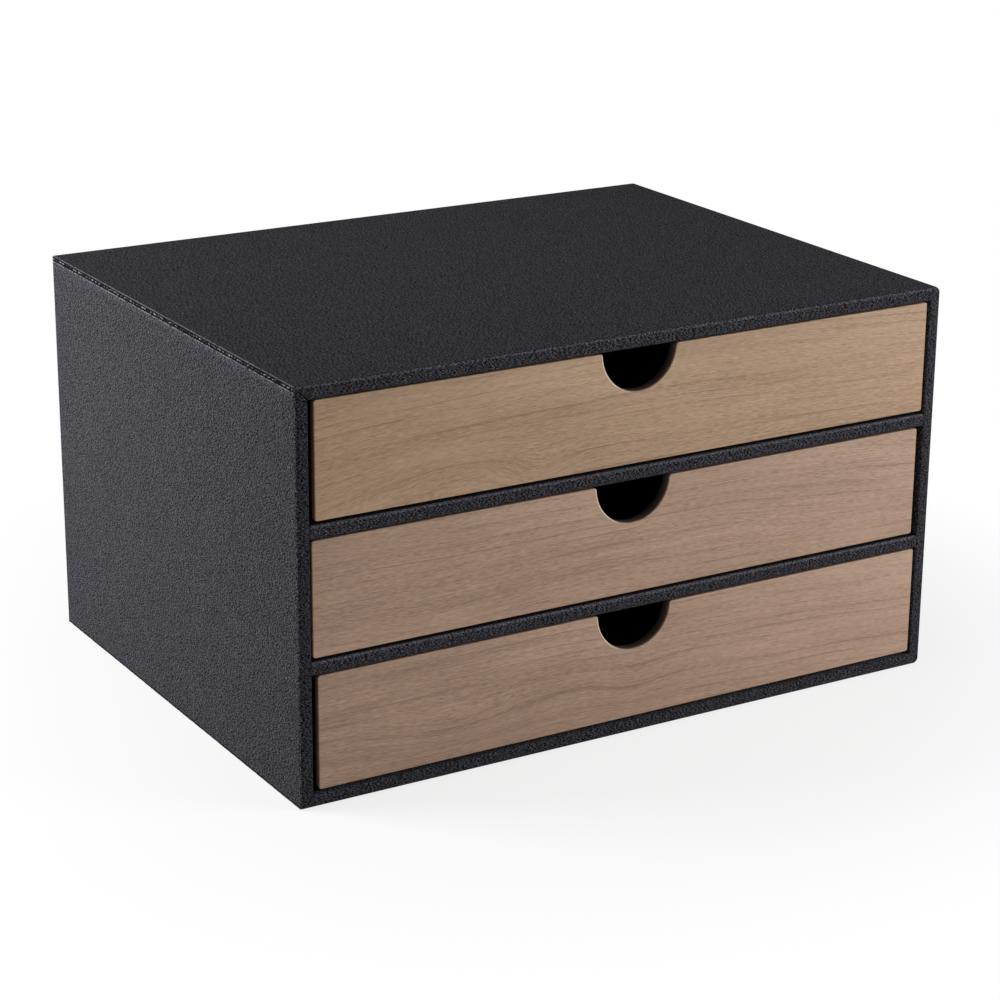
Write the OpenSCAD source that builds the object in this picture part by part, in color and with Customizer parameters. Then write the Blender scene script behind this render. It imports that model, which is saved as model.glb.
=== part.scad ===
// Desktop box with three drawers, for paper, craft materials and small parts.
// The case is fibreboard in a dark linen-weave cover: top, right side and base are folded
// from one grooved board, and the left side is a board of its own, mitred in.
// The drawers are paper-wrapped board trays with a wood-look face and a finger cut-out.
//
// Millimetres. X runs across the front, Y from the front (-) to the back (+), Z up.
// The origin is the centre of the underside.

/* [Case] */
// Overall width across the front
case_w = 330; // [260:1:420]
// Overall depth, from the front edges to the rear edges
case_d = 252; // [180:1:330]
// Overall height
case_h = 185; // [150:1:260]
// Thickness of the fibreboard in the walls, the back and the shelves
board_t = 5.2; // [3:0.1:7]
// Thickness of the linen-weave cover
cover_t = 0.4; // [0.3:0.05:0.8]
// Thickness of the black paper that lines the bays
lining_t = 0.4; // [0.2:0.05:0.8]
// Outer radius of the two folded edges on the right
fold_r = 2.8; // [1:0.1:3.2]
// Width of the cover that is turned in behind each front edge
turn_in = 14; // [5:1:30]
// How far the back panel sits in from the rear edges
back_recess = 0.6; // [0.1:0.1:3]

/* [Drawer fronts] */
// How far the closed fronts sit behind the front edges of the case
front_recess = 1; // [0:0.1:4]
// Height of the front's lower edge above the floor of its bay
front_lift = 1.4; // [0.5:0.1:4]
// Gap between the front's upper edge and the ceiling of its bay
front_top_gap = 0.8; // [0.3:0.1:3]
// Gap at each end of the front when the drawer is centred in its bay
front_side_gap = 2; // [1.6:0.1:4]
// Thickness of the board in the front
front_board_t = 2.6; // [1.5:0.1:5]
// Thickness of the wood-look face that wraps the board
face_t = 0.4; // [0.2:0.05:0.8]
// Corner radius of the front
front_corner_r = 1.5; // [1:0.1:5]

/* [Finger cut-outs] */
// Radius of the half-round cut-out
finger_r = 19; // [12:0.5:25]
// Radius of the flare where the cut-out meets the upper edge
finger_flare_r = 2; // [1:0.1:5]

/* [Trays] */
// Thickness of the board in the walls and the bottom of the tray
tray_board_t = 2; // [1:0.1:4]
// Thickness of the black paper on the tray
paper_t = 0.3; // [0.2:0.05:0.6]
// How far the tray stands in from each end of the front
tray_side_step = 1; // [0:0.1:5]
// How far the rim of the tray is below the upper edge of the front
tray_top_step = 1.2; // [0:0.1:8]
// Depth to which the paper is turned down inside the rim
rim_turn = 12; // [4:1:20]
// Running clearance under the tray
tray_run_gap = 0.2; // [0.1:0.05:0.5]
// Clearance between the closed tray and the back of its bay
tray_back_gap = 0.4; // [0.2:0.1:5]

/* [Drawer places] */
// Sideways place of the top drawer in its bay, to the right
top_shift = 1; // [-1.5:0.1:1.5]
// Sideways place of the middle drawer in its bay, to the right
middle_shift = -0.8; // [-1.5:0.1:1.5]
// Sideways place of the bottom drawer in its bay, to the right
bottom_shift = 1.2; // [-1.5:0.1:1.5]

/* [Hidden] */
CASE_NODES = [
    "base_board", "right_board", "top_board", "left_board", "back_board",
    "lower_shelf_board", "upper_shelf_board",
    "sleeve_cover", "base_cover", "left_cover", "back_cover",
    "lower_shelf_cover", "upper_shelf_cover",
    "floor_lining", "right_lining", "ceiling_lining", "left_lining", "back_lining",
];
DRAWERS = ["bottom_drawer", "middle_drawer", "top_drawer"];
DRAWER_PARTS = [
    "wood_face", "front_board", "tray_front_wall", "tray_back_wall",
    "tray_left_wall", "tray_right_wall", "tray_bottom", "tray_cover", "tray_lining",
];

$fn = 96;
over = 1; // how far a cutting shape runs past what it cuts

// Colours
cloth = [0.19, 0.19, 0.21];
black_paper = [0.07, 0.07, 0.08];
greyboard = [0.52, 0.47, 0.41];
wood = [0.64, 0.53, 0.44];

// Case
wall_t = cover_t + board_t + lining_t;
shelf_t = board_t + 2 * cover_t;
inner_w = case_w - 2 * wall_t;
inner_h = case_h - 2 * wall_t;
case_front = -case_d / 2;
case_back = case_d / 2;
back_outside = case_back - back_recess;
back_inside = back_outside - wall_t;
bay_count = len(DRAWERS);
bay_h = (inner_h - (bay_count - 1) * shelf_t) / bay_count;

// Drawer fronts, measured from the middle of the bay's floor
front_w = inner_w - 2 * front_side_gap;
front_h = bay_h - front_lift - front_top_gap;
front_top = front_lift + front_h;
front_t = face_t + front_board_t;
front_y = case_front + front_recess;

// Trays, measured from the middle of the bay's floor
tray_w = front_w - 2 * tray_side_step;
tray_front = front_y + front_t;
tray_back = back_inside - tray_back_gap;
tray_foot = tray_run_gap;
tray_rim = front_top - tray_top_step;
tray_wall = paper_t + tray_board_t;
drawer_shifts = [bottom_shift, middle_shift, top_shift];

// The four sides of the case's section, counted from the base, anticlockwise from the front
BASE = 0;
RIGHT = 1;
TOP = 2;
LEFT = 3;

function bay_floor(i) = wall_t + i * (bay_h + shelf_t);

// Corners of the case's section, drawn in by a distance
function corner(i, inset) = [
    (i == 1 || i == 2 ? 1 : -1) * (case_w / 2 - inset),
    i < 2 ? inset : case_h - inset
];

// ---- Shapes that several pieces share ----

// A solid block between two opposite corners
module block(low, high) {
    translate(low) cube(high - low);
}

// A section drawn in X and Z, run through the depth from y0 to y1
module run_back(y0, y1) {
    translate([0, y1, 0]) rotate([90, 0, 0]) linear_extrude(y1 - y0) children();
}

// A section drawn in Y and Z, run across the inside of the case from wall to wall
module run_across() {
    translate([-inner_w / 2, 0, 0]) rotate([90, 0, 90]) linear_extrude(inner_w) children();
}

// Section of the case, drawn in by a distance: square on the left, folded round on the right
module case_section(inset) {
    r = fold_r - inset;
    low = corner(BASE, inset);
    high = corner(TOP, inset);
    translate(low) square([high.x - low.x - r, high.y - low.y]);
    translate([low.x, low.y + r]) square([high.x - low.x, high.y - low.y - 2 * r]);
    for (z = [low.y + r, high.y - r]) translate([high.x - r, z]) circle(r);
}

// Section of the open space inside the case, let out by a distance
module inner_section(outset) {
    translate([-inner_w / 2 - outset, wall_t - outset])
        square([inner_w + 2 * outset, inner_h + 2 * outset]);
}

// One side's share of the section, between the mitres at its two corners
module mitred_side(i) {
    next = (i + 1) % 4;
    polygon([corner(i, 0), corner(next, 0), corner(next, wall_t), corner(i, wall_t)]);
}

// The cover's share of the section for the board that is the base, right up to the floor
module base_share() {
    difference() {
        translate(corner(BASE, 0)) square([case_w, wall_t]);
        mitred_side(LEFT);
    }
}

module sleeve_share() {
    difference() {
        union() {
            mitred_side(RIGHT);
            mitred_side(TOP);
        }
        base_share();
    }
}

// Cover on the outside, over the front and rear edges and turned in behind the front edge.
// On the left the covers stop short of the corner, so their cut edges leave a fine groove.
module cover_shape() {
    difference() {
        union() {
            run_back(case_front, case_back) difference() {
                case_section(0);
                case_section(cover_t);
            }
            for (y = [case_front, case_back - cover_t]) {
                run_back(y, y + cover_t) difference() {
                    case_section(0);
                    inner_section(0);
                }
            }
            run_back(case_front, case_front + cover_t + turn_in) difference() {
                inner_section(lining_t);
                inner_section(0);
            }
        }
        for (z = [-over, case_h - cover_t]) {
            block([-case_w / 2 - over, case_front - over, z],
                  [-case_w / 2 + cover_t, case_back + over, z + cover_t + over]);
        }
    }
}

// ---- Case boards ----

module case_board(i) {
    color(greyboard) run_back(case_front + cover_t, case_back - cover_t) intersection() {
        difference() {
            case_section(cover_t);
            inner_section(lining_t);
        }
        mitred_side(i);
    }
}

// One of the three layers of the back panel, between two depths from its outside
module back_layer(d0, d1) {
    run_back(back_outside - d1, back_outside - d0) inner_section(0);
}

module back_board() {
    color(greyboard) back_layer(cover_t, cover_t + board_t);
}

function shelf_foot(i) = bay_floor(i) + bay_h;

module shelf_board(i) {
    color(greyboard) run_across()
        translate([case_front + cover_t, shelf_foot(i) + cover_t])
            square([back_inside - case_front - cover_t, board_t]);
}

// ---- Covers and linings of the case ----

module sleeve_cover() {
    color(cloth) intersection() {
        cover_shape();
        run_back(case_front, case_back) sleeve_share();
    }
}

module base_cover() {
    color(cloth) intersection() {
        cover_shape();
        run_back(case_front, case_back) base_share();
    }
}

module left_cover() {
    color(cloth) intersection() {
        cover_shape();
        run_back(case_front, case_back) mitred_side(LEFT);
    }
}

module back_cover() {
    color(cloth) back_layer(0, cover_t);
}

// Folded round the shelf's front edge, and laid back over both faces
module shelf_cover(i) {
    color(cloth) run_across() difference() {
        translate([case_front, shelf_foot(i)]) square([back_inside - case_front, shelf_t]);
        translate([case_front + cover_t, shelf_foot(i) + cover_t])
            square([back_inside - case_front, board_t]);
    }
}

module wall_lining(i) {
    color(black_paper) run_back(case_front + cover_t + turn_in, case_back - cover_t)
        intersection() {
            difference() {
                inner_section(lining_t);
                inner_section(0);
            }
            mitred_side(i);
        }
}

module back_lining() {
    color(black_paper) back_layer(cover_t + board_t, wall_t);
}

// ---- Drawers ----

// Puts a drawer's piece in its bay
module in_bay(i) {
    translate([drawer_shifts[i], 0, bay_floor(i)]) children();
}

// Half-round cut-out with its flares, let out by a distance, about the middle of the upper edge.
// Each flare is an arc that touches both the half round and the upper edge.
module finger_cut(outset) {
    flare_x = sqrt(pow(finger_r + finger_flare_r, 2) - pow(finger_flare_r, 2));
    translate([0, front_top]) {
        circle(finger_r + outset);
        translate([-flare_x, 0]) square([2 * flare_x, over]);
        for (side = [-1, 1]) {
            difference() {
                polygon([[0, 0], [side * flare_x, 0], [side * flare_x, -finger_flare_r]]);
                translate([side * flare_x, -finger_flare_r]) circle(finger_flare_r - outset);
            }
        }
    }
}

// Outline of the drawer front, drawn in by a distance
module front_outline(inset) {
    r = front_corner_r - inset;
    w = front_w - 2 * inset;
    h = front_h - 2 * inset;
    difference() {
        translate([-w / 2, front_lift + inset]) {
            translate([r, 0]) square([w - 2 * r, h]);
            translate([0, r]) square([w, h - 2 * r]);
            for (x = [r, w - r], z = [r, h - r]) translate([x, z]) circle(r);
        }
        finger_cut(inset);
    }
}

// Thin face wrapped round the board's edges, its corners and its cut-out
module wood_face(i) {
    color(wood) in_bay(i) difference() {
        run_back(front_y, tray_front) front_outline(0);
        run_back(front_y + face_t, tray_front + over) front_outline(face_t);
    }
}

module front_board(i) {
    color(greyboard) in_bay(i) run_back(front_y + face_t, tray_front) front_outline(face_t);
}

// Block inside the tray's outer faces, from a height above its foot up to a height in the bay
module tray_block(inset, foot, top) {
    block([-tray_w / 2 + inset, tray_front + inset, tray_foot + foot],
          [tray_w / 2 - inset, tray_back - inset, top]);
}

// Everything that the cut-out takes from the tray's front wall
module tray_finger_cut(outset) {
    run_back(tray_front - over, tray_front + tray_wall + paper_t + over) finger_cut(outset);
}

module side_wall_shape(side) {
    x0 = side * (tray_w / 2 - paper_t - tray_board_t / 2);
    block([x0 - tray_board_t / 2, tray_front + paper_t, tray_foot + paper_t],
          [x0 + tray_board_t / 2, tray_back - paper_t, tray_rim - paper_t]);
}

// The front and rear walls stand between the side walls
module end_wall_shape(y0) {
    block([-tray_w / 2 + tray_wall, y0, tray_foot + paper_t],
          [tray_w / 2 - tray_wall, y0 + tray_board_t, tray_rim - paper_t]);
}

module front_wall_shape() {
    difference() {
        end_wall_shape(tray_front + paper_t);
        tray_finger_cut(paper_t);
    }
}

module back_wall_shape() {
    end_wall_shape(tray_back - tray_wall);
}

module bottom_shape() {
    tray_block(tray_wall, paper_t, tray_foot + tray_wall);
}

// Paper on the tray's floor and up its walls, as far as the edge of the turned-in cover
module lining_shape() {
    difference() {
        tray_block(tray_wall, tray_wall, tray_rim - rim_turn);
        tray_block(tray_wall + paper_t, tray_wall + paper_t, tray_rim);
        tray_finger_cut(paper_t);
    }
}

module tray_wall_board(i, side) {
    color(greyboard) in_bay(i) side_wall_shape(side);
}

module tray_front_wall(i) {
    color(greyboard) in_bay(i) front_wall_shape();
}

module tray_back_wall(i) {
    color(greyboard) in_bay(i) back_wall_shape();
}

module tray_bottom(i) {
    color(greyboard) in_bay(i) bottom_shape();
}

module tray_lining(i) {
    color(black_paper) in_bay(i) lining_shape();
}

// One sheet of paper under the tray, up its walls, over the rim, down inside and round the
// cut-out: the whole tray less its boards, its lining and its open space
module tray_cover(i) {
    color(black_paper) in_bay(i) difference() {
        tray_block(0, 0, tray_rim);
        tray_block(tray_wall + paper_t, tray_wall, tray_rim + over);
        side_wall_shape(-1);
        side_wall_shape(1);
        front_wall_shape();
        back_wall_shape();
        bottom_shape();
        lining_shape();
        tray_finger_cut(0);
    }
}

// ---- Pieces ----

case_board(BASE);  // base_board
case_board(RIGHT);  // right_board
case_board(TOP);  // top_board
case_board(LEFT);  // left_board
back_board();
shelf_board(0);  // lower_shelf_board
shelf_board(1);  // upper_shelf_board
sleeve_cover();
base_cover();
left_cover();
back_cover();
shelf_cover(0);  // lower_shelf_cover
shelf_cover(1);  // upper_shelf_cover
wall_lining(BASE);  // floor_lining
wall_lining(RIGHT);  // right_lining
wall_lining(TOP);  // ceiling_lining
wall_lining(LEFT);  // left_lining
back_lining();

for (i = [0 : bay_count - 1]) {
    wood_face(i);
    front_board(i);
    tray_front_wall(i);
    tray_back_wall(i);
    tray_wall_board(i, -1);
    tray_wall_board(i, 1);
    tray_bottom(i);
    tray_cover(i);
    tray_lining(i);
}
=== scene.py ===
import math

import bmesh
import bpy
from mathutils import Matrix, Vector


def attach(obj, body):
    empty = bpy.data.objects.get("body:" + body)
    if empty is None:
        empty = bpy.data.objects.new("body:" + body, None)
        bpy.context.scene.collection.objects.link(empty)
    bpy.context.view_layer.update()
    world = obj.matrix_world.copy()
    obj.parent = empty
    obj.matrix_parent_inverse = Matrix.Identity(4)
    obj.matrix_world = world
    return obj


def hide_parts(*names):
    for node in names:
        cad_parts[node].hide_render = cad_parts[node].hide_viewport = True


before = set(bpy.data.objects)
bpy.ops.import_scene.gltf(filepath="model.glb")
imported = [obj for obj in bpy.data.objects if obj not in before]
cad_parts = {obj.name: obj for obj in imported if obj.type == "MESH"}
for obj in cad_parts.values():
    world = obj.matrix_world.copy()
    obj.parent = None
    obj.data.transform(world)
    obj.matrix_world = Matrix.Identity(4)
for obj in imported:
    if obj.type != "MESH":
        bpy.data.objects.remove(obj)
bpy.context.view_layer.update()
MM = 0.001


# ---- Camera -------------------------------------------------------------------------------
# A long lens a little above the box, out past its left front corner, as in the photograph.

camera_place = (-0.64235, -1.07832, 0.50126)
azimuth, elevation, roll = (math.radians(a) for a in (-31.047, 18.850, 0.459))
back = Vector((math.sin(azimuth) * math.cos(elevation),
               -math.cos(azimuth) * math.cos(elevation), math.sin(elevation)))
right = (-back).cross(Vector((0, 0, 1))).normalized()
up = back.cross(right)
turned_right = math.cos(roll) * right + math.sin(roll) * up
turned_up = math.cos(roll) * up - math.sin(roll) * right

bpy.ops.object.camera_add(location=camera_place)
camera = bpy.context.object
camera.name = "camera"
camera.rotation_euler = Matrix((turned_right, turned_up, back)).transposed().to_euler()
camera.data.sensor_width = 36
camera.data.lens = 100.18
bpy.context.scene.camera = camera
bpy.context.scene.view_settings.view_transform = "Standard"


# ---- Floor --------------------------------------------------------------------------------
# A sheet of matt white studio paper. It takes the box's soft shadow, and away from the box it
# turns into the plain white that the world shows to the camera.

def add_node(tree, kind, settings=None, **inputs):
    """Adds a shader node. An input takes a value or another node's output."""
    made = tree.nodes.new("ShaderNode" + kind)
    for name, value in (settings or {}).items():
        setattr(made, name, value)
    for name, value in inputs.items():
        socket = made.inputs[name.replace("_", " ")]
        if isinstance(value, bpy.types.NodeSocket):
            tree.links.new(value, socket)
        else:
            socket.default_value = value
    return made


def calc(tree, operation, *values):
    """One Math node. Values are numbers or outputs."""
    made = tree.nodes.new("ShaderNodeMath")
    made.operation = operation
    for socket, value in zip(made.inputs, values):
        if isinstance(value, bpy.types.NodeSocket):
            tree.links.new(value, socket)
        else:
            socket.default_value = value
    return made.outputs[0]


def ramp(tree, value, start, end, low=0, high=1, smooth=True):
    """Goes from low to high while the value goes from start to end, and stays there."""
    settings = {"interpolation_type": "SMOOTHSTEP" if smooth else "LINEAR"}
    return add_node(tree, "MapRange", settings, Value=value, From_Min=start, From_Max=end,
                    To_Min=low, To_Max=high).outputs[0]


def sees_backdrop(tree):
    """1 on the rays that show the backdrop, from the camera, a glossy or a clear surface."""
    rays = add_node(tree, "LightPath").outputs
    return calc(tree, "MAXIMUM", rays["Is Camera Ray"],
                calc(tree, "MAXIMUM", rays["Is Glossy Ray"], rays["Is Transmission Ray"]))


def new_material(name):
    """A node material with only its output node."""
    made = bpy.data.materials.new(name)
    made.use_nodes = True
    tree = made.node_tree
    tree.nodes.clear()
    return made, tree, tree.nodes.new("ShaderNodeOutputMaterial")


floor_half = 5
floor_drop = 0.2 * MM
shadow_reach = (0.2, 0.36)
floor_shade_share = 0.22
paper_whites = (0.79, 0.83)
fibres_per_metre = 900
fibre_relief = 0.05 * MM

bpy.ops.object.select_all(action="DESELECT")
bpy.ops.mesh.primitive_plane_add(size=2 * floor_half, location=(0, 0, -floor_drop))
floor = bpy.context.object
floor.name = "floor"
bpy.ops.object.transform_apply(location=True, rotation=True, scale=True)

paper_white, tree, output = new_material("studio_paper")
place = add_node(tree, "TexCoord").outputs["Object"]
distance = add_node(tree, "VectorMath", {"operation": "LENGTH"}, Vector=place).outputs["Value"]
near = ramp(tree, distance, *shadow_reach, low=floor_shade_share, high=0)
fibres = add_node(tree, "TexNoise", Vector=place, Scale=fibres_per_metre, Detail=3).outputs[0]
tone = ramp(tree, fibres, 0, 1, *paper_whites, smooth=False)
relief = add_node(tree, "Bump", Height=fibres, Strength=0.1, Distance=fibre_relief)
sheet = add_node(tree, "BsdfDiffuse", Color=tone, Normal=relief.outputs[0])
white_share = calc(tree, "MULTIPLY", sees_backdrop(tree), calc(tree, "SUBTRACT", 1, near))
white = add_node(tree, "Emission", Strength=1)
mixed = add_node(tree, "MixShader", Fac=white_share)
tree.links.new(sheet.outputs[0], mixed.inputs[1])
tree.links.new(white.outputs[0], mixed.inputs[2])
tree.links.new(mixed.outputs[0], output.inputs["Surface"])
floor.data.materials.append(paper_white)


# ---- Studio light ---------------------------------------------------------------------------
# A soft box beside the left side and set back, another at the right of the front, a weak one
# overhead and a dim even room. The corner between the first two faces the camera, in half shade.

def soft_box(name, middle, aim, width, height, watts):
    """A rectangular area lamp that faces a point."""
    bpy.ops.object.light_add(type="AREA", location=middle)
    lamp = bpy.context.object
    lamp.name = name
    lamp.data.shape = "RECTANGLE"
    lamp.data.size, lamp.data.size_y = width, height
    lamp.data.energy = watts
    lamp.rotation_euler = (Vector(aim) - Vector(middle)).to_track_quat("-Z", "Y").to_euler()


soft_box("left_soft_box", (-0.78, 0.34, 0.36), (-0.165, 0, 0.12), 0.45, 0.45, 10.9)
soft_box("right_soft_box", (0.66, -0.72, 0.36), (0.12, -0.126, 0.1), 0.45, 0.45, 6.3)
soft_box("top_soft_box", (0.05, -0.05, 1.05), (0.05, -0.05, 0), 0.6, 0.6, 1.45)

room_light = 0.22
room = bpy.data.worlds.new("room")
bpy.context.scene.world = room
room.use_nodes = True
tree = room.node_tree
tree.nodes.clear()
output = tree.nodes.new("ShaderNodeOutputWorld")
strength = ramp(tree, sees_backdrop(tree), 0, 1, room_light, 1, smooth=False)
background = add_node(tree, "Background", Color=(1, 1, 1, 1), Strength=strength)
tree.links.new(background.outputs[0], output.inputs["Surface"])


# ---- Boards of the case ----------------------------------------------------------------------
# Grey fibreboard, 5.2 mm thick. Base, right side and top are one board, grooved and folded; the
# left side is a board of its own, mitred in. All of it is inside the cover.

def paint(red, green, blue):
    """A colour as it is read off a screen, 0 to 255, for a shader socket."""
    def linear(level):
        part = level / 255
        return part / 12.92 if part <= 0.04045 else ((part + 0.055) / 1.055) ** 2.4
    return (linear(red), linear(green), linear(blue), 1)


def new_group(name, *inputs):
    """An empty effect group: its tree, what it is given and what it puts out."""
    tree = bpy.data.node_groups.new(name, "ShaderNodeTree")
    outputs = (("Color", "Color"), ("Roughness", "Float"), ("Height", "Float"))
    for side, sockets in (("INPUT", inputs), ("OUTPUT", outputs)):
        for label, kind in sockets:
            tree.interface.new_socket(label, in_out=side, socket_type="NodeSocket" + kind)
    given, result = tree.nodes.new("NodeGroupInput"), tree.nodes.new("NodeGroupOutput")
    return tree, given.outputs, result.inputs


def mix_colour(tree, share, first, second):
    """A share of the second colour over the first."""
    mixed = tree.nodes.new("ShaderNodeMix")
    mixed.data_type = "RGBA"
    for slot, source in ((0, share), (6, first), (7, second)):
        tree.links.new(source, mixed.inputs[slot])
    return mixed.outputs[2]


def paper_fibre_group():
    """Short pressed fibres, as in board and paper, and the cloudiness of the sheet."""
    tree, given, result = new_group(
        "paper fibre", ("Place", "Vector"), ("Fibre", "Color"), ("Pulp", "Color"),
        ("Fibre length", "Float"), ("Roughness", "Float"))
    clouds_per_metre, strand_share, sheen_change = 55, 0.7, 0.3
    per_fibre = calc(tree, "DIVIDE", 1, given["Fibre length"])
    strands = add_node(tree, "TexNoise", Vector=given["Place"], Scale=per_fibre, Detail=4,
                       Roughness=0.65, Distortion=1.2).outputs[0]
    clouds = add_node(tree, "TexNoise", Vector=given["Place"], Scale=clouds_per_metre,
                      Detail=3).outputs[0]
    height = calc(tree, "ADD", calc(tree, "MULTIPLY", strands, strand_share),
                  calc(tree, "MULTIPLY", clouds, 1 - strand_share))
    share = ramp(tree, height, 0.35, 0.65, smooth=False)
    tree.links.new(mix_colour(tree, share, given["Pulp"], given["Fibre"]), result["Color"])
    rough = calc(tree, "SUBTRACT", given["Roughness"],
                 calc(tree, "MULTIPLY", calc(tree, "SUBTRACT", height, 0.5), sheen_change))
    tree.links.new(rough, result["Roughness"])
    tree.links.new(height, result["Height"])
    return tree


def surface(name, group, place, bump, specular, **inputs):
    """A material whose colour, roughness and bump come from one effect group."""
    made, tree, output = new_material(name)
    effect = tree.nodes.new("ShaderNodeGroup")
    effect.node_tree = group
    source = add_node(tree, "UVMap" if place == "UV" else "TexCoord")
    tree.links.new(source.outputs["UV" if place == "UV" else "Object"], effect.inputs["Place"])
    for key, value in inputs.items():
        effect.inputs[key.replace("_", " ")].default_value = value
    relief = add_node(tree, "Bump", Height=effect.outputs["Height"], Distance=bump)
    skin = add_node(tree, "BsdfPrincipled", Base_Color=effect.outputs["Color"],
                    Roughness=effect.outputs["Roughness"], Normal=relief.outputs[0])
    skin.inputs["Specular IOR Level"].default_value = specular
    tree.links.new(skin.outputs[0], output.inputs["Surface"])
    return made


def finish_node(name, material):
    """Gives a CAD piece its finish."""
    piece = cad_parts[name]
    if not piece.material_slots:
        piece.data.materials.append(material)
    for slot in piece.material_slots:
        slot.material = material


paper_fibre = paper_fibre_group()
fibreboard = surface("fibreboard", paper_fibre, "Object", bump=0.08 * MM, specular=0.2,
                     Fibre=paint(92, 84, 76), Pulp=paint(66, 60, 55),
                     Fibre_length=0.9 * MM, Roughness=0.85)
board_edge_radius = 1.6 * MM
for board in ("base_board", "right_board", "top_board", "left_board", "back_board",
              "lower_shelf_board", "upper_shelf_board"):
    finish_node(board, fibreboard)
for board in ("base_board", "right_board", "top_board", "left_board"):
    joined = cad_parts[board].modifiers.new("joined faces", "WELD")
    joined.merge_threshold = 0.001 * MM
    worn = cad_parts[board].modifiers.new("rounded edges", "BEVEL")
    worn.width, worn.segments = board_edge_radius, 3
    worn.limit_method, worn.angle_limit = "ANGLE", math.radians(60)
    worn.use_clamp_overlap = worn.loop_slide = False


# ---- Linen-weave cover of the case -------------------------------------------------------------
# Dark grey book cloth, 0.4 mm. One sheet goes over top, right side and base, round the softened
# edges and 14 mm into the bays; another covers the left side. They meet in mitres, and along the
# two left corners their cut edges leave a fine dark groove with pale thread ends.

case_low, case_high = (-165 * MM, -126 * MM, 0), (165 * MM, 126 * MM, 185 * MM)
wall = 6 * MM
cloth = 0.4 * MM
turned_in = 14.4 * MM
rear_step = 1 * MM
fold_radius = 2.8 * MM
front_radius = 2.0 * MM
bay_radius = 0.8 * MM
rear_radius = 1.0 * MM
mitre_gap = 0.2 * MM
thread_pitch = 0.55 * MM


def start_block(name, low, high):
    """A new block between two corners, open for editing, with nothing on it selected."""
    bpy.ops.object.select_all(action="DESELECT")
    middle = [(a + b) / 2 for a, b in zip(low, high)]
    bpy.ops.mesh.primitive_cube_add(size=1, location=middle,
                                    scale=[b - a for a, b in zip(low, high)])
    piece = bpy.context.object
    piece.name = piece.data.name = name
    bpy.ops.object.transform_apply(location=True, rotation=True, scale=True)
    bpy.ops.object.mode_set(mode="EDIT")
    bpy.ops.mesh.select_all(action="DESELECT")
    return piece


def pick_faces(piece, test):
    """Selects the faces that pass a test on their middle and normal."""
    bpy.ops.mesh.select_mode(type="FACE")
    bpy.ops.mesh.select_all(action="DESELECT")
    mesh = bmesh.from_edit_mesh(piece.data)
    for face in mesh.faces:
        if test(face.calc_center_median(), face.normal):
            face.select_set(True)
    bmesh.update_edit_mesh(piece.data)


def pick_edges(piece, test):
    """Selects the edges that pass a test on the edge and its two ends."""
    bpy.ops.mesh.select_mode(type="EDGE")
    bpy.ops.mesh.select_all(action="DESELECT")
    mesh = bmesh.from_edit_mesh(piece.data)
    for edge in mesh.edges:
        if test(edge, edge.verts[0].co, edge.verts[1].co):
            edge.select_set(True)
    bmesh.update_edit_mesh(piece.data)


def close_to(a, b):
    """Whether two places along an axis are the same, to a hundredth of a millimetre."""
    return abs(a - b) < 0.01 * MM


def soften(radius, segments):
    """Rounds the selected edges."""
    bpy.ops.mesh.bevel(offset=radius, segments=segments, affect="EDGES", clamp_overlap=False)


def thicken(piece, thickness, rim_material=0, even=True):
    """Gives a skin its thickness, on the inside. Even keeps it the same at square corners."""
    shell = piece.modifiers.new("thickness", "SOLIDIFY")
    shell.thickness = thickness
    shell.offset = -1
    shell.use_even_offset = even
    shell.material_offset_rim = rim_material
    bpy.context.view_layer.objects.active = piece
    bpy.ops.object.modifier_apply(modifier=shell.name)


def smooth(piece, angle):
    """Shades rounded edges smooth and leaves sharp ones sharp."""
    bpy.ops.object.select_all(action="DESELECT")
    piece.select_set(True)
    bpy.context.view_layer.objects.active = piece
    bpy.ops.object.shade_smooth_by_angle(angle=math.radians(angle))


def lay_weave(piece):
    """Lays the weave flat on every face, in metres, seen from the side that the face looks to."""
    mesh = piece.data
    while mesh.uv_layers:
        mesh.uv_layers.remove(mesh.uv_layers[0])
    weave = mesh.uv_layers.new(name="weave")
    for face in mesh.polygons:
        looks_along = max(range(3), key=lambda axis: abs(face.normal[axis]))
        across, along = [axis for axis in range(3) if axis != looks_along]
        for corner in face.loop_indices:
            point = mesh.vertices[mesh.loops[corner].vertex_index].co
            weave.data[corner].uv = (point[across], point[along])


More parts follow.
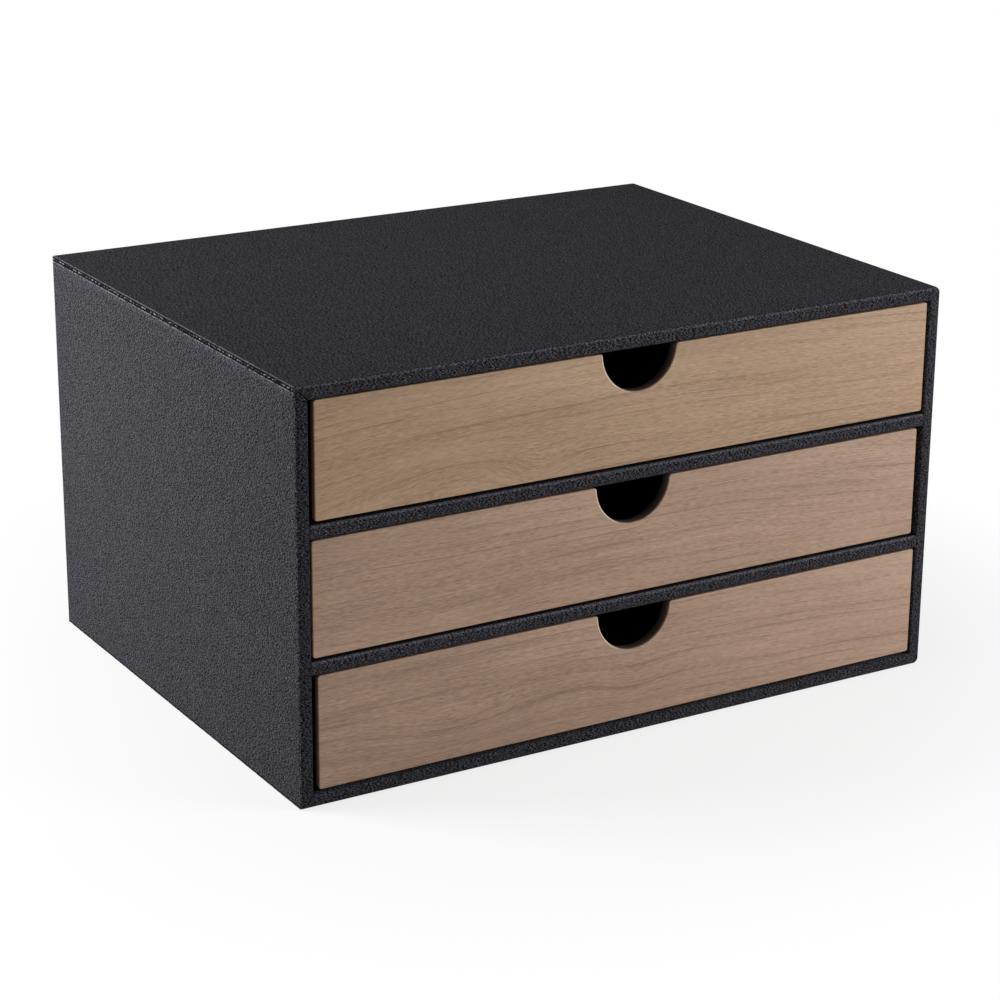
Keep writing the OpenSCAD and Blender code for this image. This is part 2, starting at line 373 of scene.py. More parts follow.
def whole_cover():
    """The skin of the whole case, before the two sheets are parted at the mitres."""
    piece = start_block("case_cover", case_low, case_high)
    front, rear = case_low[1], case_high[1]
    for y, facing, depth in ((front, -1, turned_in), (rear, 1, rear_step)):
        pick_faces(piece, lambda middle, normal: normal.y * facing > 0.9)
        bpy.ops.mesh.inset(thickness=wall)
        bpy.ops.mesh.extrude_region_move(
            TRANSFORM_OT_translate={"value": (0, -facing * depth, 0)})
        bpy.ops.mesh.delete(type="FACE")
    # The mitres on the right are folded in one piece with the sheet
    pick_edges(piece, lambda edge, a, b: close_to(a.y, b.y) and min(a.x, b.x) > 0
               and abs(a.x - b.x) > 1 * MM and abs(a.z - b.z) > 1 * MM)
    bpy.ops.mesh.dissolve_edges(use_verts=False)
    pick_edges(piece, lambda edge, a, b: close_to(a.x, case_high[0])
               and close_to(b.x, case_high[0]) and not close_to(a.y, b.y))
    soften(fold_radius, 8)

    def on_rim(edge, a, b, y):
        return (close_to(a.y, y) and close_to(b.y, y) and len(edge.link_faces) == 2
                and edge.calc_face_angle() > math.radians(80))

    def at_bay(a, b):
        middle = (a + b) / 2
        return (abs(middle.x) < case_high[0] - wall + 0.1 * MM
                and wall - 0.1 * MM < middle.z < case_high[2] - wall + 0.1 * MM)

    for y, radius in ((front, front_radius), (rear, rear_radius)):
        pick_edges(piece, lambda edge, a, b: on_rim(edge, a, b, y) and not at_bay(a, b))
        soften(radius, 5)
        pick_edges(piece, lambda edge, a, b: on_rim(edge, a, b, y) and at_bay(a, b))
        soften(bay_radius, 4)
    bpy.ops.object.mode_set(mode="OBJECT")
    return piece


def cut_at_mitres(piece, keep_left):
    """Keeps one sheet, and leaves a fine gap along the mitres at the two left corners."""
    gap = -mitre_gap if keep_left else mitre_gap

    def from_mitre(point, lean):
        """How far a point is on the right of the upper (lean 1) or lower (-1) mitre."""
        rise = point.z - (case_high[2] if lean > 0 else case_low[2])
        return (point.x - case_low[0] + lean * rise) / math.sqrt(2)

    bpy.context.view_layer.objects.active = piece
    bpy.ops.object.mode_set(mode="EDIT")
    for lean, corner_z in ((1, case_high[2]), (-1, case_low[2])):
        pick_faces(piece, lambda middle, normal: abs(middle.z - corner_z) < 0.9 * case_high[2])
        normal = Vector((1, 0, lean)).normalized()
        bpy.ops.mesh.bisect(plane_co=Vector((case_low[0], 0, corner_z)) + normal * gap,
                            plane_no=normal)
    pick_faces(piece, lambda middle, normal:
               (max(from_mitre(middle, 1), from_mitre(middle, -1)) > gap) == keep_left)
    bpy.ops.mesh.delete(type="FACE")
    bpy.ops.object.mode_set(mode="OBJECT")


def linen_group():
    """Plain weave of uneven threads, with slubs, and bare pale threads along a cut edge."""
    tree, given, result = new_group(
        "linen weave", ("Place", "Vector"), ("Thread pitch", "Float"), ("Thread", "Color"),
        ("Hollow", "Color"), ("Bare thread", "Color"), ("Cut edge", "Float"),
        ("Lighter", "Float"), ("Groove and painted shade", "Float"), ("Roughness", "Float"))
    # Lengths inside the group count in threads
    wander_scale, wander_threads = 0.09, 1.6
    slub_scale, slub_noise, slub_swell, slub_tone = 0.3, (0.3, 0.7), 0.3, 0.16
    fleck_mean, fleck_contrast, darkest_fleck, taken_from_beside = 0.72, 2.8, 0.05, 0.4
    hollow_light, thread_light, roundness = 0.069, 0.8, 1.5
    cloud_scale, cloud_light, mean_light = 0.02, 0.08, 0.44
    lighter_added, lighter_contrast = 0.1, 1.1
    polish_on_threads = 0.12

    per_thread = calc(tree, "DIVIDE", 1, given["Thread pitch"])
    scaled = add_node(tree, "VectorMath", {"operation": "SCALE"}, Vector=given["Place"],
                      Scale=per_thread).outputs["Vector"]
    wander = add_node(tree, "TexNoise", Vector=scaled, Scale=wander_scale,
                      Detail=2).outputs["Color"]
    shift = tree.nodes.new("ShaderNodeVectorMath")
    shift.operation = "MULTIPLY_ADD"
    tree.links.new(wander, shift.inputs[0])
    shift.inputs[1].default_value = (wander_threads, wander_threads, 0)
    tree.links.new(scaled, shift.inputs[2])
    u, v, _ = add_node(tree, "SeparateXYZ", Vector=shift.outputs[0]).outputs

    def thread_set(cross, along, odd):
        """Height and tone of the threads that run one way, seen across and along them. A thread
        swells and thins along its length, and is paler or darker for a crossing or two."""
        number = calc(tree, "FLOOR", cross)
        round_top = calc(tree, "SINE", calc(tree, "MULTIPLY", calc(tree, "FRACT", cross), math.pi))
        step = calc(tree, "ADD", calc(tree, "ADD", along, number), odd - 0.5)
        over = calc(tree, "MULTIPLY_ADD",
                    calc(tree, "COSINE", calc(tree, "MULTIPLY", step, math.pi)), 0.5, 0.5)
        run = add_node(tree, "CombineXYZ", X=calc(tree, "MULTIPLY", number, 7.31),
                       Y=calc(tree, "MULTIPLY", along, slub_scale), Z=odd * 3.7).outputs[0]
        slub = add_node(tree, "TexNoise", Vector=run, Scale=1, Detail=1).outputs[0]
        thick = ramp(tree, slub, *slub_noise, smooth=False)
        height = calc(tree, "MULTIPLY", calc(tree, "MULTIPLY", round_top, over),
                      calc(tree, "MULTIPLY_ADD", thick, slub_swell, 1 - slub_swell))
        stretch = calc(tree, "FLOOR", calc(tree, "MULTIPLY_ADD", along, 1 - 0.4 * odd,
                                           calc(tree, "MULTIPLY", number, 0.37)))

        def dye(step_on):
            """The chance tone of this stretch of the thread, or of one next to it."""
            place = add_node(tree, "CombineXYZ", X=number, Y=calc(tree, "ADD", stretch, step_on),
                             Z=odd * 5 + 0.5).outputs[0]
            return add_node(tree, "TexWhiteNoise", Vector=place).outputs["Value"]

        # Set against its neighbours, so that the flecks don't draw together into blotches
        beside = calc(tree, "MULTIPLY", calc(tree, "ADD", dye(-1), dye(1)), taken_from_beside)
        fleck = calc(tree, "MULTIPLY_ADD", calc(tree, "SUBTRACT", dye(0), beside),
                     fleck_contrast, fleck_mean)
        tone = calc(tree, "MULTIPLY", calc(tree, "MULTIPLY_ADD", thick, slub_tone,
                                           1 - slub_tone / 2),
                    calc(tree, "MAXIMUM", darkest_fleck, fleck))
        return height, tone

    warp, warp_tone = thread_set(u, v, 0)
    weft, weft_tone = thread_set(v, u, 1)
    height = calc(tree, "MAXIMUM", warp, weft)
    weft_shows = calc(tree, "GREATER_THAN", weft, warp)
    tone = add_node(tree, "Mix", Factor=weft_shows, A=warp_tone, B=weft_tone).outputs[0]
    clouds = add_node(tree, "TexNoise", Vector=scaled, Scale=cloud_scale, Detail=3).outputs[0]
    # Painted highlight and shade: the threads are lighter on their crowns and darker down in the
    # hollows, by their height
    lit = calc(tree, "MULTIPLY", tone, calc(tree, "MULTIPLY_ADD", calc(
        tree, "POWER", height, roundness), thread_light, hollow_light))
    lit = calc(tree, "MULTIPLY", lit, calc(tree, "MULTIPLY_ADD", clouds, cloud_light, mean_light))
    # Lightening here is a painted highlight along the top front edges, and a paler band below the
    # corner groove
    lit = calc(tree, "MULTIPLY_ADD", given["Lighter"],
               calc(tree, "MULTIPLY_ADD", lit, lighter_contrast, lighter_added), lit)
    # Darkening here is the corner groove and the mitre lines, and painted shade on the shelves and
    # on the left front strip
    lit = calc(tree, "MULTIPLY", lit, calc(tree, "SUBTRACT", 1, given["Groove and painted shade"]))
    woven = mix_colour(tree, lit, given["Hollow"], given["Thread"])
    tree.links.new(mix_colour(tree, given["Cut edge"], woven, given["Bare thread"]),
                   result["Color"])
    tree.links.new(calc(tree, "SUBTRACT", given["Roughness"],
                        calc(tree, "MULTIPLY", height, polish_on_threads)), result["Roughness"])
    tree.links.new(height, result["Height"])
    return tree


# Where the marks, the painted highlight and the painted shade on the cloth lie, counted from the
# edge that each follows
highlight_edge, highlight_swing = (0.5 * MM, 1.3 * MM), 1.2 * MM
shade_under_front = (1.4 * MM, 5.2 * MM)
line_on_top = (-1 * MM, 0.5 * MM)
upper_groove, groove_dots = (0.1 * MM, 2.3 * MM), (0.9 * MM, 1.45 * MM)
line_below_groove, pale_below_groove = (2.4 * MM, 2.8 * MM), (2.4 * MM, 5 * MM)
foot_line, foot_groove = (-1 * MM, 0.4 * MM), (0.5 * MM, 1.3 * MM)
mitre_line = (-1 * MM, 0.35 * MM)
mark_blur, frayed_swing = 0.1 * MM, 0.9 * MM
outer_skin, front_skin_depth = 0.15 * MM, 0.6 * MM


def linen_material(name, seam, highlight_heights):
    """Book cloth with a painted highlight along its front edges at some heights. With the seam, its
    cut edges at the two left corners show bare threads. Without it, it is for the shelves or the
    panel."""
    made = surface(name, linen_weave, "UV", bump=0.08 * MM, specular=0.02,
                   Thread_pitch=thread_pitch, Thread=paint(113, 111, 119),
                   Hollow=paint(8, 8, 10), Bare_thread=paint(186, 184, 188),
                   Roughness=0.95)
    tree = made.node_tree
    effect = next(n for n in tree.nodes if n.bl_idname == "ShaderNodeGroup")
    place = add_node(tree, "TexCoord").outputs["Object"]
    x, y, z = add_node(tree, "SeparateXYZ", Vector=place).outputs

    def waver(per_metre, swing):
        """An uneven shift to either side, by half the swing at most."""
        noise = add_node(tree, "TexNoise", Vector=place, Scale=per_metre, Detail=2).outputs[0]
        return calc(tree, "MULTIPLY", calc(tree, "SUBTRACT", noise, 0.5), swing)

    def band(distance, reach, share):
        """The share between two distances, zero elsewhere."""
        rise, fall = ((edge - mark_blur, edge + mark_blur) for edge in reach)
        return calc(tree, "MULTIPLY", ramp(tree, distance, *rise),
                    ramp(tree, distance, *fall, low=share, high=0))

    from_front = calc(tree, "SUBTRACT", y, case_low[1])
    # A painted highlight along the front edges at the given heights
    from_edge = 1
    for height in highlight_heights:
        from_edge = calc(tree, "MINIMUM", from_edge,
                         calc(tree, "ABSOLUTE", calc(tree, "SUBTRACT", z, height)))
    from_edge = calc(tree, "MAXIMUM", from_edge, from_front)
    from_edge = calc(tree, "ADD", from_edge, waver(700, highlight_swing))
    edge_highlight = ramp(tree, from_edge, *highlight_edge, low=1, high=0)

    if not seam:
        tree.links.new(edge_highlight, effect.inputs["Lighter"])
        if highlight_heights:
            # Painted shade on a shelf, in the gap under the drawer's front
            tree.links.new(band(from_front, shade_under_front, 0.65), effect.inputs["Groove and painted shade"])
        return made

    from_side = calc(tree, "SUBTRACT", x, case_low[0])
    from_top = calc(tree, "SUBTRACT", case_high[2], z)
    from_end = calc(tree, "MINIMUM", z, from_top)
    on_side = calc(tree, "LESS_THAN", from_side, outer_skin)
    on_top = calc(tree, "LESS_THAN", from_end, outer_skin)
    on_front = calc(tree, "LESS_THAN", from_front, front_skin_depth)
    near_corner = calc(tree, "LESS_THAN", from_side, wall)
    off_mitre = calc(tree, "ABSOLUTE", calc(tree, "SUBTRACT", from_side, from_end))
    frayed = waver(1100, frayed_swing)
    inward, down, up = (calc(tree, "ADD", away, frayed) for away in (from_side, from_top, z))
    broken = add_node(tree, "Mapping", Vector=place, Scale=(1400, 520, 1400)).outputs[0]
    broken = add_node(tree, "TexNoise", Vector=broken, Scale=1, Detail=1).outputs[0]
    dashes = ramp(tree, broken, 0.42, 0.56, smooth=False)
    dots = ramp(tree, broken, 0.54, 0.62, smooth=False)

    pale = calc(tree, "MULTIPLY", calc(tree, "MULTIPLY", on_top,
                                       calc(tree, "MULTIPLY_ADD", dashes, 0.5, 0.5)),
                band(inward, line_on_top, 0.7))
    for away, reach, share, where in ((down, groove_dots, 0.45, dots),
                                      (down, line_below_groove, 0.25, dashes),
                                      (up, foot_line, 0.8, dashes)):
        pale = calc(tree, "MULTIPLY_ADD", calc(tree, "MULTIPLY", on_side, where),
                    band(away, reach, share), pale)
    dark = calc(tree, "MULTIPLY", on_side,
                calc(tree, "MAXIMUM", band(down, upper_groove, 0.96), band(up, foot_groove, 0.9)))
    # The mitre line at the front, and painted shade that darkens the whole left front strip
    mitre_and_strip_shade = calc(tree, "MULTIPLY", calc(tree, "MULTIPLY", on_front, near_corner),
                 calc(tree, "MAXIMUM", band(off_mitre, mitre_line, 0.9), 0.2))
    beside = calc(tree, "MULTIPLY", band(down, pale_below_groove, 0.16), on_side)
    tree.links.new(pale, effect.inputs["Cut edge"])
    tree.links.new(calc(tree, "MAXIMUM", dark, mitre_and_strip_shade), effect.inputs["Groove and painted shade"])
    tree.links.new(calc(tree, "MAXIMUM", edge_highlight, beside), effect.inputs["Lighter"])
    return made


linen_weave = linen_group()
case_cloth = linen_material("linen_cloth", seam=True, highlight_heights=(case_high[2],))
cut_threads = surface("cut_threads", paper_fibre, "Object", bump=0.05 * MM, specular=0.2,
                      Fibre=paint(84, 83, 82), Pulp=paint(16, 16, 17),
                      Fibre_length=0.8 * MM, Roughness=0.85)

sleeve = whole_cover()
bpy.ops.object.select_all(action="DESELECT")
sleeve.select_set(True)
bpy.ops.object.duplicate()
left_sheet = bpy.context.object
sleeve.name = sleeve.data.name = "linen_sleeve"
left_sheet.name = left_sheet.data.name = "linen_left_side"
cut_at_mitres(sleeve, keep_left=False)
cut_at_mitres(left_sheet, keep_left=True)
for sheet_piece, nodes in ((sleeve, ("sleeve_cover", "base_cover")),
                           (left_sheet, ("left_cover",))):
    sheet_piece.data.materials.append(case_cloth)
    sheet_piece.data.materials.append(cut_threads)
    thicken(sheet_piece, cloth, rim_material=1)
    lay_weave(sheet_piece)
    smooth(sheet_piece, 35)
    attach(sheet_piece, "case")
    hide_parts(*nodes)


# ---- Back panel ----------------------------------------------------------------------------
# A board of its own in the same cloth, set between the four walls a little below their edges.

panel_cloth = linen_material("linen_cloth_panel", seam=False, highlight_heights=())
panel_gap = 0.25 * MM
panel_inside, panel_outside = 125.0 * MM, 125.4 * MM
panel_radius = 0.35 * MM
panel = start_block(
    "linen_back_panel", (case_low[0] + wall + panel_gap, panel_inside, wall + panel_gap),
    (case_high[0] - wall - panel_gap, panel_outside, case_high[2] - wall - panel_gap))
pick_edges(panel, lambda edge, a, b: close_to(a.y, panel_outside) and close_to(b.y, panel_outside))
soften(panel_radius, 3)
bpy.ops.object.mode_set(mode="OBJECT")
panel.data.materials.append(panel_cloth)
lay_weave(panel)
smooth(panel, 35)
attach(panel, "case")
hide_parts("back_cover")


# ---- Shelves ---------------------------------------------------------------------------------
# Two boards between the sides, each in a strip of the cloth that runs back over both faces and
# is folded round the front edge. Their ends butt against the turned-in cover.

shelf_feet = {"lower_shelf": 59.667 * MM, "upper_shelf": 119.333 * MM}
shelf_cloth = linen_material("linen_cloth_shelves", seam=False,
                             highlight_heights=[foot + wall for foot in shelf_feet.values()])
shelf_gap = 0.2 * MM
shelf_radius = 1.2 * MM
shelf_rear = 119.4 * MM
for shelf, foot in shelf_feet.items():
    strip = start_block(shelf + "_linen", (case_low[0] + wall + shelf_gap, case_low[1], foot),
                        (case_high[0] - wall - shelf_gap, shelf_rear, foot + wall))
    pick_faces(strip, lambda middle, normal: normal.y > 0.9 or abs(normal.x) > 0.9)
    bpy.ops.mesh.delete(type="FACE")
    pick_edges(strip, lambda edge, a, b: close_to(a.y, case_low[1])
               and close_to(b.y, case_low[1]) and abs(a.x - b.x) > 0.1)
    soften(shelf_radius, 5)
    bpy.ops.object.mode_set(mode="OBJECT")
    strip.data.materials.append(shelf_cloth)
    strip.data.materials.append(cut_threads)
    thicken(strip, cloth, rim_material=1)
    lay_weave(strip)
    smooth(strip, 35)
    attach(strip, "case")
    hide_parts(shelf + "_cover")


# ---- Linings of the bays -----------------------------------------------------------------------
# Smooth black paper on the inner walls, from the edge of the turned-in cloth to the back.

black_paper = surface("black_paper", paper_fibre, "Object", bump=0.03 * MM, specular=0.3,
                      Fibre=paint(44, 43, 46), Pulp=paint(30, 29, 32),
                      Fibre_length=0.7 * MM, Roughness=0.62)
for lining in ("floor_lining", "right_lining", "ceiling_lining", "left_lining", "back_lining"):
    finish_node(lining, black_paper)


# ---- Drawer fronts ---------------------------------------------------------------------------
# A board with a printed wood-look foil that wraps its edges, its small round corners and the
# half-round finger cut-out, whose ends flare into the upper edge. Pale brown, low grain.

drawers = {"bottom_drawer": (1.2 * MM, 6 * MM), "middle_drawer": (-0.8 * MM, 65.667 * MM),
           "top_drawer": (1 * MM, 125.333 * MM)}
front_face_y, front_back_y = -125 * MM, -122 * MM
front_half = 157 * MM
front_foot, front_top = 1.4 * MM, 52.867 * MM
front_corner = 1 * MM
foil = 0.4 * MM
foil_radius = 0.35 * MM
foil_turn = 0.9 * MM
cut_radius = 19 * MM
flare = 1.2 * MM


def finger_cutter(name, y0, y1):
    """A solid the shape of the cut-out: its profile is spun flare by flare, then drawn out."""
    flare_x = math.sqrt((cut_radius + flare) ** 2 - flare ** 2)
    lean = math.asin(flare / (cut_radius + flare))
    bpy.ops.object.select_all(action="DESELECT")
    bpy.ops.mesh.primitive_plane_add(size=1 * MM, location=(0, y0, front_top))
    cutter = bpy.context.object
    cutter.name = cutter.data.name = name
    bpy.ops.object.transform_apply(location=True, rotation=True, scale=True)
    bpy.ops.object.mode_set(mode="EDIT")
    bpy.ops.mesh.select_mode(type="VERT")
    bpy.ops.mesh.select_all(action="SELECT")
    bpy.ops.mesh.merge(type="CENTER")
    bpy.ops.transform.translate(value=(-flare_x, 0, 0))
    quarter = math.pi / 2 - lean
    for middle_x, middle_z, angle, steps in (
            (-flare_x, front_top - flare, -quarter, 10),
            (0, front_top, math.pi - 2 * lean, 72),
            (flare_x, front_top - flare, -quarter, 10)):
        bpy.ops.mesh.spin(steps=steps, angle=angle, center=(middle_x, y0, middle_z),
                          axis=(0, 1, 0))
    bpy.ops.mesh.extrude_region_move(TRANSFORM_OT_translate={"value": (0, 0, 3 * MM)})
    bpy.ops.mesh.extrude_region_move(TRANSFORM_OT_translate={"value": (-2 * flare_x, 0, 0)})
    bpy.ops.mesh.select_all(action="SELECT")
    bpy.ops.mesh.edge_face_add()
    bpy.ops.mesh.extrude_region_move(TRANSFORM_OT_translate={"value": (0, y1 - y0, 0)})
    bpy.ops.mesh.select_all(action="SELECT")
    bpy.ops.mesh.normals_make_consistent(inside=False)
    bpy.ops.object.mode_set(mode="OBJECT")
    return cutter


def cut_with(piece, cutter):
    """Takes the cutter's shape out of the piece, and puts the cutter away."""
    cut = piece.modifiers.new("cut-out", "BOOLEAN")
    cut.operation = "DIFFERENCE"
    cut.solver = "EXACT"
    cut.object = cutter
    bpy.ops.object.select_all(action="DESELECT")
    bpy.context.view_layer.objects.active = piece
    bpy.ops.object.modifier_apply(modifier=cut.name)
    bpy.ops.object.mode_set(mode="EDIT")
    bpy.ops.mesh.select_all(action="SELECT")
    bpy.ops.mesh.remove_doubles(threshold=0.01 * MM)
    bpy.ops.object.mode_set(mode="OBJECT")
    cutter.select_set(True)
    bpy.ops.object.delete()


def front_skin():
    """The foil of one front, about the middle of its bay's floor."""
    piece = start_block("front_foil", (-front_half, front_face_y, front_foot),
                        (front_half, front_back_y, front_top))
    pick_edges(piece, lambda edge, a, b: not close_to(a.y, b.y))
    soften(front_corner, 4)
    bpy.ops.object.mode_set(mode="OBJECT")
    cut_with(piece, finger_cutter("finger_cutter", front_face_y - 2 * MM, front_back_y + 2 * MM))
    bpy.context.view_layer.objects.active = piece
    bpy.ops.object.mode_set(mode="EDIT")
    pick_edges(piece, lambda edge, a, b: close_to(a.y, front_face_y)
               and close_to(b.y, front_face_y) and edge.calc_face_angle() > math.radians(60))
    soften(foil_radius, 4)
    pick_faces(piece, lambda middle, normal: normal.y > 0.9)
    bpy.ops.mesh.inset(thickness=foil_turn)
    bpy.ops.mesh.delete(type="FACE")
    bpy.ops.object.mode_set(mode="OBJECT")
    thicken(piece, foil, even=False)
    return piece


def copy_into_bays(skin, suffix):
    """Puts a copy of the skin in each bay, with a mesh of its own, and deletes the skin."""
    copies = {}
    for drawer, (shift, floor_z) in drawers.items():
        bpy.ops.object.select_all(action="DESELECT")
        skin.select_set(True)
        bpy.context.view_layer.objects.active = skin
        bpy.ops.object.duplicate()
        copies[drawer] = bpy.context.object
        copies[drawer].name = copies[drawer].data.name = drawer + suffix
        bpy.ops.transform.translate(value=(shift, 0, floor_z))
        bpy.ops.object.transform_apply(location=True, rotation=True, scale=True)
    bpy.ops.object.select_all(action="DESELECT")
    skin.select_set(True)
    bpy.ops.object.delete()
    return copies


fronts = copy_into_bays(front_skin(), "_wood_look_foil")


def wood_group():
    """Printed wood grain along X. It bows over a hump and round two arches, where the rings end."""
    tree, given, result = new_group(
        "wood grain", ("Place", "Vector"), ("Hump", "Vector"), ("Slope", "Float"),
        ("Arch", "Vector"), ("Arch size", "Vector"), ("Second arch", "Vector"),
        ("Second size", "Vector"), ("Pale", "Color"), ("Dark", "Color"), ("Turned", "Color"),
        ("Worn", "Color"), ("Cut-out", "Vector"), ("Fade", "Float"), ("Contrast", "Float"),
        ("Roughness", "Float"))
    # Lengths inside the group are in millimetres
    ring_width, ring_drift = 5.5, 2.2
    wave_lift, ripple_lift = 6, 0.8
    mean_tone = 0.56
    late_wood_depth, late_wood_sharpness, late_wood_noise = 0.48, 7, (0.38, 0.62)
    pore_depth, pore_noise, pore_roughness, pore_relief = 0.35, (0.6, 0.76), 0.12, -0.8
    fibre_roughness = 0.1
    # Where the painted shade on the foil's turned edges lies, and how much darker it is in the
    # cut-out
    edge_shade_depths = (front_face_y / MM + 0.1, front_face_y / MM + 1.8)
    cut_shade_reach, cut_shade_light = 22, 0.4
    # Where the painted highlight on the cut-out's left rim lies
    highlight_rim, highlight_left = (19.4, 19.6), (-15, -5)

    millimetres = add_node(tree, "VectorMath", {"operation": "SCALE"}, Vector=given["Place"],
                           Scale=1 / MM).outputs["Vector"]
    x, y, z = add_node(tree, "SeparateXYZ", Vector=millimetres).outputs

    def grain_noise(length, width, across, detail, seed):
        """Noise drawn out along the grain."""
        where = add_node(tree, "CombineXYZ", X=calc(tree, "MULTIPLY_ADD", x, 1 / length, seed),
                         Y=calc(tree, "MULTIPLY_ADD", y, 1 / length, seed * 0.7),
                         Z=calc(tree, "MULTIPLY_ADD", across, 1 / width, seed * 1.3))
        return add_node(tree, "TexNoise", Vector=where.outputs[0], Scale=1,
                        Detail=detail).outputs[0]

    def arch(place, size):
        """How far the grain is lifted round one arch. Its size is half length, lift and half
        height."""
        middle = add_node(tree, "SeparateXYZ", Vector=given[place]).outputs
        spread = add_node(tree, "SeparateXYZ", Vector=given[size]).outputs
        along = calc(tree, "DIVIDE", calc(tree, "SUBTRACT", x, middle[0]), spread[0])
        across = calc(tree, "DIVIDE", calc(tree, "SUBTRACT", z, middle[2]), spread[2])
        away = calc(tree, "MULTIPLY_ADD", along, along, calc(tree, "MULTIPLY", across, across))
        return calc(tree, "MULTIPLY", spread[1],
                    calc(tree, "EXPONENT", calc(tree, "MULTIPLY", away, -1)))

    hump = add_node(tree, "SeparateXYZ", Vector=given["Hump"]).outputs
    from_top = calc(tree, "SUBTRACT", x, hump[0])
    level = calc(tree, "MULTIPLY_ADD", calc(tree, "MULTIPLY", from_top, from_top), hump[2], z)
    level = calc(tree, "MULTIPLY_ADD", x, given["Slope"], level)
    level = calc(tree, "SUBTRACT", level, arch("Arch", "Arch size"))
    level = calc(tree, "SUBTRACT", level, arch("Second arch", "Second size"))
    for bend, lift in ((grain_noise(110, 45, z, 1, 3.1), wave_lift),
                       (grain_noise(28, 11, z, 1, 8.7), ripple_lift)):
        level = calc(tree, "MULTIPLY_ADD", calc(tree, "SUBTRACT", bend, 0.5), lift, level)
    year = calc(tree, "FRACT", calc(
        tree, "MULTIPLY_ADD", level, 1 / ring_width,
        calc(tree, "MULTIPLY", grain_noise(900, 16, level, 1, 1.7), ring_drift)))
    fading = ramp(tree, grain_noise(55, 5, level, 1, 21.1), *late_wood_noise, smooth=False)
    late_wood = calc(tree, "MULTIPLY", calc(tree, "POWER", year, late_wood_sharpness), fading)
    bands = grain_noise(240, 5, level, 2, 2.9)
    streaks = grain_noise(20, 0.6, level, 1, 5.3)
    fibres = grain_noise(4, 0.42, level, 2, 7.7)
    clouds = grain_noise(60, 14, z, 2, 17.3)
    pores = ramp(tree, grain_noise(3, 0.35, level, 1, 11.9), *pore_noise, smooth=False)
    # The tone grows lighter towards the right, by the given slope
    tone = calc(tree, "MULTIPLY_ADD", x, given["Fade"], mean_tone)
    for part, share in ((bands, 0.45), (streaks, 0.6), (fibres, 1.4), (clouds, 0.45)):
        tone = calc(tree, "MULTIPLY_ADD", calc(tree, "MULTIPLY", calc(
            tree, "SUBTRACT", part, 0.5), given["Contrast"]), share, tone)
    dark_marks = calc(tree, "MULTIPLY_ADD", late_wood, late_wood_depth,
                      calc(tree, "MULTIPLY", pores, pore_depth))
    tone = calc(tree, "SUBTRACT", tone, calc(tree, "MULTIPLY", dark_marks, given["Contrast"]))
    face_colour = mix_colour(tree, tone, given["Dark"], given["Pale"])

    # Painted shade darkens the foil round its edges, most in the cut-out, and a painted highlight
    # lies on the cut-out's left rim
    middle = add_node(tree, "SeparateXYZ", Vector=given["Cut-out"]).outputs
    from_x, from_z = (calc(tree, "SUBTRACT", axis, middle[i]) for axis, i in ((x, 0), (z, 2)))
    from_rim = calc(tree, "SQRT", calc(tree, "MULTIPLY_ADD", from_x, from_x,
                                       calc(tree, "MULTIPLY", from_z, from_z)))
    cut_shade = calc(tree, "MULTIPLY_ADD", calc(tree, "LESS_THAN", from_rim, cut_shade_reach),
                  cut_shade_light - 1, 1)
    edge_shade_colour = add_node(tree, "VectorMath", {"operation": "SCALE"}, Scale=cut_shade)
    tree.links.new(given["Turned"], edge_shade_colour.inputs[0])
    edge_shade = ramp(tree, y, *edge_shade_depths, high=0.92)
    edge_shaded = mix_colour(tree, edge_shade, face_colour, edge_shade_colour.outputs[0])
    highlight_side = calc(tree, "MULTIPLY", ramp(tree, from_x, *highlight_left, low=0.8, high=0),
                   calc(tree, "SUBTRACT", 1, edge_shade))
    # A painted highlight on the cut-out's left rim
    worn = calc(tree, "MULTIPLY", ramp(tree, from_rim, *highlight_rim, low=1, high=0), highlight_side)
    tree.links.new(mix_colour(tree, worn, edge_shaded, given["Worn"]), result["Color"])

    rough = calc(tree, "MULTIPLY_ADD", pores, pore_roughness, given["Roughness"])
    rough = calc(tree, "MULTIPLY_ADD", calc(tree, "SUBTRACT", fibres, 0.5), fibre_roughness, rough)
    tree.links.new(rough, result["Roughness"])
    tree.links.new(calc(tree, "MULTIPLY_ADD", pores, pore_relief, fibres), result["Height"])
    return tree


wood_grain = wood_group()
prints = {
    "top_drawer": dict(Hump=(20, 0, 0.00022), Slope=0, Arch=(-95, 0, 134),
                       Arch_size=(36, 7, 12), Second_arch=(-52, 0, 130), Second_size=(17, -5, 12),
                       Fade=0, Pale=paint(180, 151, 123), Dark=paint(134, 108, 85)),
    "middle_drawer": dict(Hump=(0, 0, 0.0001), Slope=0.03, Arch=(30, 0, 96),
                          Arch_size=(70, 4, 16), Second_arch=(-120, 0, 78),
                          Second_size=(50, -3, 12), Fade=0.0002,
                          Pale=paint(178, 149, 128), Dark=paint(132, 107, 89)),
    "bottom_drawer": dict(Hump=(-60, 0, 0.00012), Slope=0.01, Arch=(-86, 0, 22),
                          Arch_size=(44, -7, 11), Second_arch=(0, 0, 24),
                          Second_size=(17, -4, 11), Fade=0.0013,
                          Pale=paint(178, 149, 128), Dark=paint(132, 107, 89)),
}
for drawer, look in prints.items():
    foil_piece = fronts[drawer]
    shift, floor_z = drawers[drawer]
    look["Cut-out"] = (shift / MM, 0, (floor_z + front_top) / MM)
    # The colour on the foil's edges is painted shade, and the colour on the cut-out's left rim is a
    # painted highlight
    foil_piece.data.materials.append(
        surface(drawer + "_wood_look", wood_grain, "Object", bump=0.03 * MM, specular=0.3,
                Turned=paint(122, 72, 52), Worn=paint(232, 214, 192),
                Contrast=1.05, Roughness=0.5, **look))
    smooth(foil_piece, 35)
    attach(foil_piece, drawer)
    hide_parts(drawer + "_wood_face")


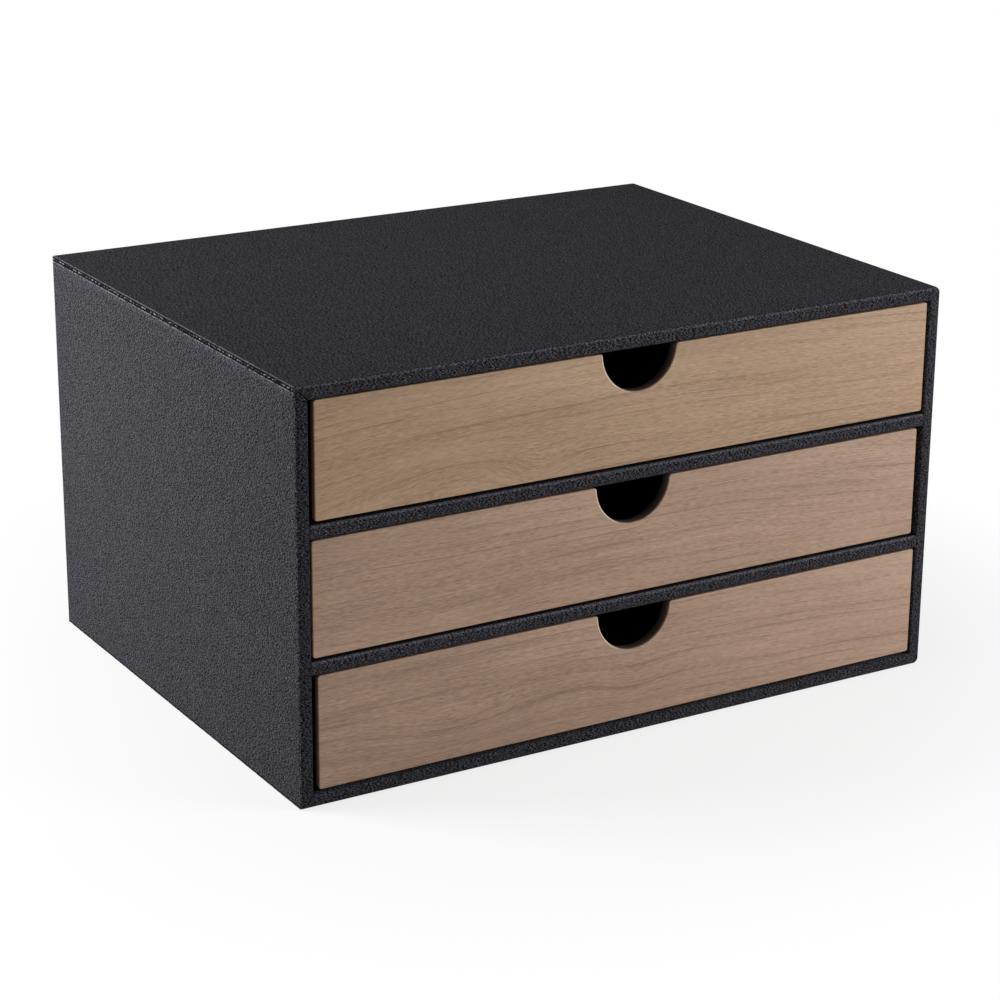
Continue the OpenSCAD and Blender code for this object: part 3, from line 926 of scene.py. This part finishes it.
# ---- Boards inside the drawers -----------------------------------------------------------------
# The board of each front, and the 2 mm boards of its tray: four walls and a bottom.

for drawer in drawers:
    for part in ("front_board", "tray_front_wall", "tray_back_wall", "tray_left_wall",
                 "tray_right_wall", "tray_bottom"):
        finish_node(drawer + "_" + part, fibreboard)


# ---- Paper cover of the trays --------------------------------------------------------------------
# Black paper under each tray and up its outside, over the softened rim, round the cut-out and
# 12 mm down inside. Behind it a second sheet lines the floor and the lower walls.

tray_half = 156 * MM
tray_front, tray_rear = -122 * MM, 119 * MM
tray_foot, tray_rim = 0.2 * MM, 51.667 * MM
tray_wall = 2.6 * MM
tray_floor = 2.5 * MM
paper = 0.3 * MM
rim_turn = 12 * MM
tray_corner = 1.2 * MM
rim_radius = 0.6 * MM


def tray_skin():
    """The paper of one tray, about the middle of its bay's floor."""
    piece = start_block("tray_paper", (-tray_half, tray_front, tray_foot),
                        (tray_half, tray_rear, tray_rim))
    pick_faces(piece, lambda middle, normal: normal.z > 0.9)
    bpy.ops.mesh.inset(thickness=tray_wall)
    bpy.ops.mesh.extrude_region_move(
        TRANSFORM_OT_translate={"value": (0, 0, tray_floor - tray_rim)})

    def on_outside(point):
        return (close_to(abs(point.x), tray_half)
                and (close_to(point.y, tray_front) or close_to(point.y, tray_rear)))

    pick_edges(piece, lambda edge, a, b: on_outside(a) and on_outside(b)
               and not close_to(a.z, b.z))
    soften(tray_corner, 4)
    pick_edges(piece, lambda edge, a, b: close_to(a.z, tray_foot) and close_to(b.z, tray_foot)
               and len(edge.link_faces) == 2 and edge.calc_face_angle() > math.radians(60))
    soften(rim_radius, 3)
    bpy.ops.object.mode_set(mode="OBJECT")
    cut_with(piece, finger_cutter("tray_cutter", tray_front - 2 * MM,
                                  tray_front + tray_wall + 4 * MM))
    bpy.context.view_layer.objects.active = piece
    bpy.ops.object.mode_set(mode="EDIT")

    def on_cut(a, b):
        middle = (a + b) / 2
        return (middle.z > front_top - cut_radius - 0.1 * MM
                and abs(middle.x) < cut_radius + 3 * MM
                and abs(middle.y - tray_front) < tray_wall + 0.1 * MM)

    pick_edges(piece, lambda edge, a, b: edge.calc_face_angle() > math.radians(60)
               and ((close_to(a.z, tray_rim) and close_to(b.z, tray_rim))
                    or on_cut(a, b)) and not (on_cut(a, b) and not close_to(a.y, b.y)))
    soften(rim_radius, 3)
    edge_of_turn = tray_rim - rim_turn
    pick_faces(piece, lambda middle, normal: middle.z < tray_rim - rim_radius
               and abs(middle.x) < tray_half - tray_wall + 0.05 * MM
               and tray_front + tray_wall - 0.05 * MM < middle.y < tray_rear - tray_wall + 0.05 * MM
               and middle.z > tray_foot + 1 * MM)
    bpy.ops.mesh.bisect(plane_co=(0, 0, edge_of_turn), plane_no=(0, 0, 1), clear_inner=True)
    bpy.ops.object.mode_set(mode="OBJECT")
    thicken(piece, paper, even=False)
    return piece


for drawer, tray in copy_into_bays(tray_skin(), "_tray_paper").items():
    tray.data.materials.append(black_paper)
    smooth(tray, 35)
    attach(tray, drawer)
    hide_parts(drawer + "_tray_cover")
    finish_node(drawer + "_tray_lining", black_paper)
